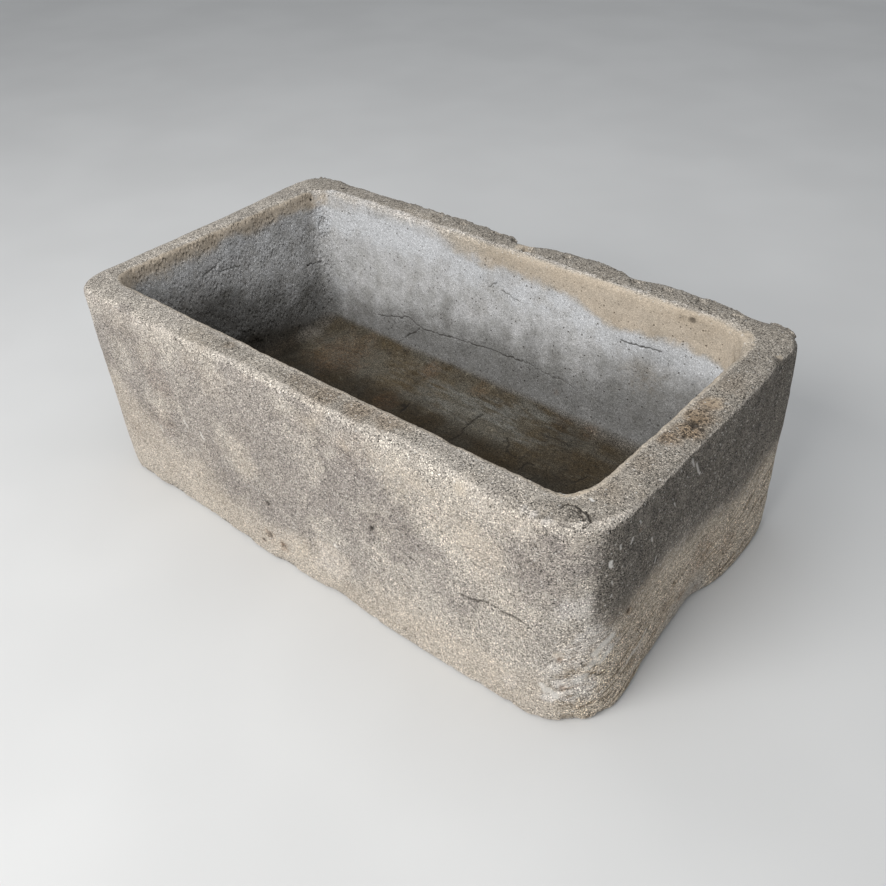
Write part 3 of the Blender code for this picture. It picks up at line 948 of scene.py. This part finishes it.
def make_skin():
    """The finished mesh, with its zones as point attributes."""
    mesh, marks, tree = marked_skin()
    site = Site(mesh)
    texture = relief(site)
    cut, crack_dark = crack_depth(site, marks["cracks"])
    sunk, pit_dark, pit_rust = pit_depth(site, marks["pits"])
    height = texture + arris_wear(site) - cut - sunk - chip_depth(site, marks["chips"])
    height *= 1 - site.under
    moved = np.clip(site.place + site.facing * height[:, None], LOW, HIGH)
    mesh.vertices.foreach_set("co", moved.astype(np.float32).ravel())
    zones = stain_zones(site, tree) | wear_zones(site, tree)
    zones["rust"] = np.maximum(zones["rust"], pit_rust)
    zones["dark"] = np.maximum(crack_dark, pit_dark)
    zones["cavity"] = np.clip(-texture / DIRTY_DEPTH, 0, 1)
    zones["scuff"] = scuff_zone(site, marks["scuffs"])
    for name, values in zones.items():
        attribute = mesh.attributes.new(name, "FLOAT", "POINT")
        attribute.data.foreach_set("value", values.astype(np.float32))
    mesh.shade_smooth()
    mesh.update()
    return mesh


# The materials

def srgb(*levels):
    """A linear colour from 8-bit levels."""
    shares = [level / 255 for level in levels]
    linear = [share / 12.92 if share <= 0.04045 else ((share + 0.055) / 1.055) ** 2.4 for share in shares]
    return (*linear, 1)


def tint(name):
    """One of the named tints."""
    return srgb(*TINTS[name])


class Nodes:
    """Short names for the nodes that a material is made of."""

    def __init__(self, material):
        material.use_nodes = True
        self.tree = material.node_tree
        self.shader = self.tree.nodes["Principled BSDF"]
        self.place = self.tree.nodes.new("ShaderNodeTexCoord").outputs["Object"]

    def feed(self, socket, value):
        """Links a socket to another one, or sets its value."""
        if isinstance(value, bpy.types.NodeSocket):
            self.tree.links.new(value, socket)
        else:
            socket.default_value = value

    def zone(self, name):
        """A zone of the skin, read from its points."""
        node = self.tree.nodes.new("ShaderNodeAttribute")
        node.attribute_name = name
        return node.outputs["Fac"]

    def stretched(self, stretch, tilt=0.0):
        """The place, turned about X by a tilt and then stretched."""
        turned = self.tree.nodes.new("ShaderNodeMapping")
        self.feed(turned.inputs["Vector"], self.place)
        turned.inputs["Rotation"].default_value = (tilt, 0, 0)
        node = self.tree.nodes.new("ShaderNodeMapping")
        self.feed(node.inputs["Vector"], turned.outputs["Vector"])
        node.inputs["Scale"].default_value = stretch
        return node.outputs["Vector"]

    def noise(self, pitch, detail=2, roughness=0.5, vector=None):
        """Smooth noise with features about a pitch wide."""
        node = self.tree.nodes.new("ShaderNodeTexNoise")
        self.feed(node.inputs["Vector"], vector or self.place)
        node.inputs["Scale"].default_value = 1 / pitch
        node.inputs["Detail"].default_value = detail
        node.inputs["Roughness"].default_value = roughness
        return node.outputs["Fac"]

    def spots(self, pitch, vector=None):
        """The distance from scattered spots, in pitches, and each spot's own number."""
        node = self.tree.nodes.new("ShaderNodeTexVoronoi")
        self.feed(node.inputs["Vector"], vector or self.place)
        node.inputs["Scale"].default_value = 1 / pitch
        split = self.tree.nodes.new("ShaderNodeSeparateColor")
        self.feed(split.inputs["Color"], node.outputs["Color"])
        return node.outputs["Distance"], split.outputs["Red"]

    def dots(self, pitch, chosen, size, vector=None):
        """Dots on some of the spots: the numbers that choose them, and the distances where they fade."""
        distance, number = self.spots(pitch, vector)
        return self.product(self.ramp(number, *chosen), self.ramp(distance, *size))

    def math(self, how, first, second=0.0, third=0.0):
        """One sum of up to three values."""
        node = self.tree.nodes.new("ShaderNodeMath")
        node.operation = how
        for socket, value in zip(node.inputs, (first, second, third)):
            self.feed(socket, value)
        return node.outputs[0]

    def product(self, first, second):
        """Two values multiplied."""
        return self.math("MULTIPLY", first, second)

    def rest(self, value):
        """What is missing to 1."""
        return self.math("SUBTRACT", 1.0, value)

    def most(self, first, second):
        """The larger of two values."""
        return self.math("MAXIMUM", first, second)

    def scaled(self, value, factor, start):
        """A start value plus a value times a factor."""
        return self.math("MULTIPLY_ADD", value, factor, start)

    def ramp(self, value, start, end, low=0.0, high=1.0):
        """Eases from low at the start to high at the end, either way round."""
        node = self.tree.nodes.new("ShaderNodeMapRange")
        node.interpolation_type = "SMOOTHSTEP"
        for name, given in (
            ("Value", value), ("From Min", start), ("From Max", end), ("To Min", low), ("To Max", high)
        ):
            self.feed(node.inputs[name], given)
        return node.outputs["Result"]

    def mix(self, share, first, second, how="MIX"):
        """The first colour, with a share of the second mixed in."""
        node = self.tree.nodes.new("ShaderNodeMix")
        node.data_type = "RGBA"
        node.blend_type = how
        sockets = {socket.identifier: socket for socket in node.inputs}
        self.feed(sockets["Factor_Float"], share)
        self.feed(sockets["A_Color"], first)
        self.feed(sockets["B_Color"], second)
        return next(socket for socket in node.outputs if socket.identifier == "Result_Color")

    def bump(self, height, distance, normal=None):
        """A normal that shows a height, over another normal if there is one."""
        node = self.tree.nodes.new("ShaderNodeBump")
        self.feed(node.inputs["Height"], height)
        self.feed(node.inputs["Distance"], distance)
        self.feed(node.inputs["Strength"], 1.0)
        if normal is not None:
            self.feed(node.inputs["Normal"], normal)
        return node.outputs["Normal"]


class Sandstone(Nodes):
    """The stone's colour and surface. Each stain, layer and grain is laid over the last."""

    def __init__(self, material):
        super().__init__(material)
        self.speckle = self.noise(0.0085, 3, 0.65)
        self.mottle = self.noise(0.030, 4, 0.6)
        self.soft = self.noise(0.042, 2, 0.5)
        self.cloud = self.noise(0.110, 3, 0.55)
        self.wash = self.zone("wash")
        self.bedding = self.zone("bedding")
        self.ridge_and_highlight = self.zone("ridge_and_highlight")
        self.colour = self.mottled(self.cloud, (0.35, 0.65), "stone", "pale stone")

    def mottled(self, noise, between, first, second, most=1.0):
        """One tint with another over it where the noise passes from one value to the other."""
        return self.mix(self.ramp(noise, *between, 0, most), tint(first), tint(second))

    def broken(self, zone, speckle, raggedness):
        """A zone broken up by a speckle where it is weak, and left whole where it is 0 or 1."""
        spread = self.scaled(self.math("SUBTRACT", speckle, 0.5), raggedness, self.zone(zone))
        return self.ramp(spread, 0.05, 0.85)

    def lay(self, share, strength, colour):
        """Lays a colour over what is there."""
        self.colour = self.mix(self.product(share, strength), self.colour, colour)

    def darken(self, share, name):
        """Multiplies what is there by a tint."""
        darker = self.mix(1.0, self.colour, tint(name), "MULTIPLY")
        self.colour = self.mix(share, self.colour, darker)

    def lay_body(self):
        """The dry stone: beige to cream in clouds, greyer in places, with the rim's dirt and its worn pale
        arris with a painted highlight.
        """
        mottle = self.ramp(self.mottle, 0.35, 0.75, 0, 0.30)
        self.colour = self.mix(mottle, self.colour, tint("stone mottle"))
        self.lay(self.broken("mauve", self.soft, 0.5), 0.85, tint("mauve"))
        self.cream = self.broken("cream", self.soft, 0.45)
        self.lay(self.cream, 0.75, tint("cream"))
        self.lay(self.broken("rim", self.mottle, 0.35), 0.85, tint("rim dirt"))
        # The worn pale arris, with a painted highlight along its line
        self.lay(self.ridge_and_highlight, 0.60, tint("ridge_and_highlight"))

    def lay_wash(self):
        """The cool grey of the hollow's walls, in faint runs."""
        grey = self.mottled(self.mottle, (0.3, 0.7), "wash", "wash mottle")
        runs = self.noise(0.034, 4, 0.6, self.stretched((1, 1, 0.16)))
        grey = self.mix(1.0, grey, self.ramp(runs, 0.35, 0.65, 0.93, 1.02), "MULTIPLY")
        self.lay(self.wash, 0.92, grey)

    def lay_ochre(self):
        """Iron stain, warmer where it is strong."""
        colour = self.mottled(self.zone("ochre"), (0.25, 1.0), "weak ochre", "strong ochre")
        colour = self.mix(self.ramp(self.mottle, 0.4, 0.7, 0, 0.35), colour, tint("ochre mottle"))
        fray = self.scaled(self.speckle, 0.6, self.product(self.mottle, 0.4))
        self.ochre = self.broken("ochre", fray, 1.1)
        self.lay(self.ochre, 0.9, colour)

    def lay_lime(self):
        """Pale scale, cooler in the hollow."""
        self.lime = self.broken("lime", self.speckle, 1.0)
        self.lay(self.lime, 0.7, self.mix(self.wash, tint("lime"), tint("cool lime")))

    def lay_grime(self):
        """Dark weathering, with paler streaks down it."""
        colour = self.mottled(self.mottle, (0.3, 0.7), "grime", "grime mottle")
        streak = self.noise(0.016, 3, 0.6, self.stretched((1, 1, 0.14)))
        colour = self.mix(self.ramp(streak, 0.55, 0.75, 0, 0.4), colour, tint("grime streak"))
        self.grime = self.broken("grime", self.speckle, 0.9)
        self.lay(self.grime, 0.90, colour)

    def lay_hollow_shade(self):
        """Painted shade: the hollow's walls darker towards the floor, and its floor darker."""
        self.darken(self.product(self.broken("hollow_shade", self.mottle, 0.4), 0.85), "hollow_shade")

    def lay_silt(self):
        """The blotched silt of the hollow's floor, with the grey streaks that water left on it."""
        colour = self.mottled(self.cloud, (0.35, 0.65), "brown silt", "grey silt")
        blotch = self.noise(0.020, 5, 0.7, self.stretched((0.6, 1, 1)))
        colour = self.mix(self.ramp(blotch, 0.44, 0.30, 0, 0.85), colour, tint("dark silt"))
        colour = self.mix(self.ramp(blotch, 0.54, 0.70, 0, 0.75), colour, tint("pale silt"))
        self.silt = self.broken("silt", self.mottle, 0.4)
        self.lay(self.silt, 0.9, colour)
        streaks = self.noise(0.020, 4, 0.65, self.stretched((0.25, 1, 1)))
        self.lay(self.zone("scum"), self.ramp(streaks, 0.42, 0.60, 0.05, 1.0), tint("scum"))

    def lay_shade_and_rust(self):
        """Painted shade darkening the hollow, and rust in spots."""
        self.darken(self.zone("dark_shade"), "dark_shade")
        rust = self.product(self.zone("rust"), self.ramp(self.speckle, 0.25, 0.65))
        self.lay(rust, 0.7, tint("rust"))

    def lay_beds(self):
        """Dark and pale streaks on the right end, along the stone's layers."""
        self.layers = self.noise(0.010, 4, 0.7, self.stretched((0.5, 0.16, 1.6), BED_TILT))
        self.lay(self.bedding, self.ramp(self.layers, 0.46, 0.66, 0, 0.80), tint("dark bed"))
        self.lay(self.bedding, self.ramp(self.layers, 0.42, 0.26, 0, 0.60), tint("pale bed"))

    def lay_crust(self):
        """The crust of the rim's dirtiest places: brown, with black scabs."""
        crust = self.zone("crust")
        self.lay(crust, 0.65, tint("crust"))
        self.scabs = self.product(self.dots(0.0055, (0.30, 0.60), (0.62, 0.28)), crust)
        self.lay(self.scabs, 0.90, tint("scab"))

    def stillness(self):
        """Where the sand grains show less: on washed and silted stone, and on the hollow's ochre."""
        smooth = self.scaled(self.zone("pecked"), -0.20, 0.65)
        still = self.most(self.product(self.wash, smooth), self.product(self.silt, 0.25))
        indoors = self.rest(self.bedding)
        return self.most(still, self.product(self.product(self.ochre, indoors), 0.75))

    def sand_contrast(self):
        """How strongly the sand grains differ: more on layered and grimy stone, and less on pale stone."""
        coarse = self.most(self.bedding, self.product(self.grime, 0.7))
        light = self.most(self.most(self.cream, self.lime), self.ridge_and_highlight)
        light = self.product(light, self.rest(self.wash))
        return self.scaled(light, -0.30, self.scaled(coarse, 0.55, 1.0))

    def lay_sand(self):
        """Sand grains, each with its own shade, and a few much paler or darker."""
        _, number = self.spots(SAND)
        shade = self.ramp(number, 0.0, 1.0, 0.46, 1.54)
        shade = self.scaled(self.ramp(number, 0.90, 0.94), 0.85, shade)
        shade = self.scaled(self.ramp(number, 0.12, 0.08), -0.38, shade)
        shade = self.scaled(self.math("SUBTRACT", shade, 1.0), self.sand_contrast(), 1.0)
        shade = self.product(self.most(shade, 0.03), self.ramp(self.speckle, 0.25, 0.75, 0.95, 1.05))
        self.still = self.stillness()
        shade = self.mix(self.still, shade, (1, 1, 1, 1))
        self.colour = self.mix(1.0, self.colour, shade, "MULTIPLY")

    def lay_grit(self):
        """Pale grit and flecks on the dry parts, and the scuffs."""
        grit = self.dots(0.0045, (0.90, 0.98), (0.50, 0.20))
        flecks = self.dots(0.0130, (0.62, 0.70), (0.17, 0.09))
        pale = self.product(self.product(self.most(grit, flecks), self.zone("dry")), 0.60)
        self.colour = self.mix(self.most(pale, self.zone("scuff")), self.colour, tint("grit"))

    def lay_pores(self):
        """Pores, pinholes in the hollow's walls, dirt in the peck marks, and the cracks and pits."""
        pores = self.dots(0.0060, (0.60, 0.90), (0.42, 0.15))
        pores = self.product(pores, self.scaled(self.zone("rim"), 0.6, 0.4))
        pinholes = self.product(self.dots(0.0110, (0.45, 0.85), (0.22, 0.09)), self.wash)
        self.holes = self.most(pores, pinholes)
        self.darken(self.product(self.holes, 0.85), "pore")
        self.darken(self.product(self.zone("cavity"), 0.6), "peck")
        self.colour = self.mix(self.zone("dark"), self.colour, tint("crack"))

    def finish(self):
        """Gives the shader its colour, a dull surface and fine bumps."""
        grain = self.noise(0.0018, 1, 0.6)
        pecks = self.dots(0.0075, (0.2, 0.7), (0.15, 0.60), self.stretched((1, 1, 0.7)))
        normal = self.bump(self.speckle, 0.0007)
        normal = self.bump(grain, self.product(self.rest(self.still), 0.0014), normal)
        normal = self.bump(self.rest(self.most(self.holes, self.scabs)), 0.0012, normal)
        normal = self.bump(self.product(pecks, self.zone("pecked")), 0.0030, normal)
        normal = self.bump(self.product(self.bedding, self.layers), 0.0024, normal)
        self.feed(self.shader.inputs["Base Color"], self.colour)
        self.feed(self.shader.inputs["Roughness"], self.ramp(grain, 0.2, 0.8, 0.86, 0.98))
        self.feed(self.shader.inputs["Specular IOR Level"], 0.3)
        self.feed(self.shader.inputs["Normal"], normal)


def stone_material():
    """Weathered sandstone."""
    material = bpy.data.materials.new("sandstone")
    stone = Sandstone(material)
    stone.lay_body()
    stone.lay_wash()
    stone.lay_ochre()
    stone.lay_lime()
    stone.lay_grime()
    stone.lay_hollow_shade()
    stone.lay_silt()
    stone.lay_shade_and_rust()
    stone.lay_beds()
    stone.lay_crust()
    stone.lay_sand()
    stone.lay_grit()
    stone.lay_pores()
    stone.finish()
    return material


def floor_material():
    """The stage's plain pale floor."""
    material = bpy.data.materials.new("pale_floor")
    nodes = Nodes(material)
    shade = nodes.ramp(nodes.noise(0.5, 2), 0.3, 0.7)
    nodes.feed(nodes.shader.inputs["Base Color"], nodes.mix(shade, tint("floor"), tint("pale floor")))
    nodes.feed(nodes.shader.inputs["Roughness"], 0.9)
    nodes.feed(nodes.shader.inputs["Specular IOR Level"], 0.2)
    return material


# The stage

def make_floor():
    """A wide floor, just under the stone's bed."""
    bm = bmesh.new()
    bmesh.ops.create_grid(bm, x_segments=1, y_segments=1, size=FLOOR_HALF)
    mesh = bpy.data.meshes.new("floor")
    bm.to_mesh(mesh)
    bm.free()
    mesh.materials.append(floor_material())
    floor = bpy.data.objects.new("floor", mesh)
    bpy.context.scene.collection.objects.link(floor)
    floor.location.z = LOW[2] - FLOOR_GAP


def make_lamp(name, place, size, watts, colour):
    """A soft rectangular lamp that is aimed at the middle of the stone."""
    data = bpy.data.lights.new(name, "AREA")
    data.shape = "RECTANGLE"
    data.size, data.size_y = size
    data.energy = watts
    data.color = colour
    lamp = bpy.data.objects.new(name, data)
    bpy.context.scene.collection.objects.link(lamp)
    lamp.location = place
    aim = Vector((LOW + HIGH) / 2) - Vector(place)
    lamp.rotation_mode = "QUATERNION"
    lamp.rotation_quaternion = aim.to_track_quat("-Z", "Y")


def make_world():
    """Even light from all round, and a brighter background behind the floor."""
    world = bpy.data.worlds.new("studio")
    world.use_nodes = True
    background = world.node_tree.nodes["Background"]
    background.inputs["Color"].default_value = SKY_COLOUR
    path = world.node_tree.nodes.new("ShaderNodeLightPath")
    strength = world.node_tree.nodes.new("ShaderNodeMapRange")
    world.node_tree.links.new(path.outputs["Is Camera Ray"], strength.inputs["Value"])
    strength.inputs["To Min"].default_value = SKY_STRENGTH
    strength.inputs["To Max"].default_value = BACKGROUND_STRENGTH
    world.node_tree.links.new(strength.outputs["Result"], background.inputs["Strength"])
    bpy.context.scene.world = world


def make_camera():
    """The camera that took the picture."""
    data = bpy.data.cameras.new("camera")
    data.sensor_width = SENSOR_MM
    data.lens = SENSOR_MM * FOCAL / PICTURE
    camera = bpy.data.objects.new("camera", data)
    bpy.context.scene.collection.objects.link(camera)
    right, up, forward = camera_axes()
    turn = Matrix((right, up, -forward)).transposed().to_4x4()
    camera.matrix_world = Matrix.Translation(CAMERA) @ turn
    bpy.context.scene.camera = camera


def make_stage():
    """The floor, the lights and the camera."""
    make_floor()
    for lamp in LAMPS:
        make_lamp(*lamp)
    make_world()
    make_camera()
    bpy.context.scene.view_settings.view_transform = "Standard"


def dress_trough():
    """The stone's skin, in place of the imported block."""
    stone = bpy.data.objects.new("stone", make_skin())
    bpy.context.scene.collection.objects.link(stone)
    stone.data.materials.clear()
    stone.data.materials.append(stone_material())
    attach(stone, "root")
    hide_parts(NODE)


make_stage()
dress_trough()
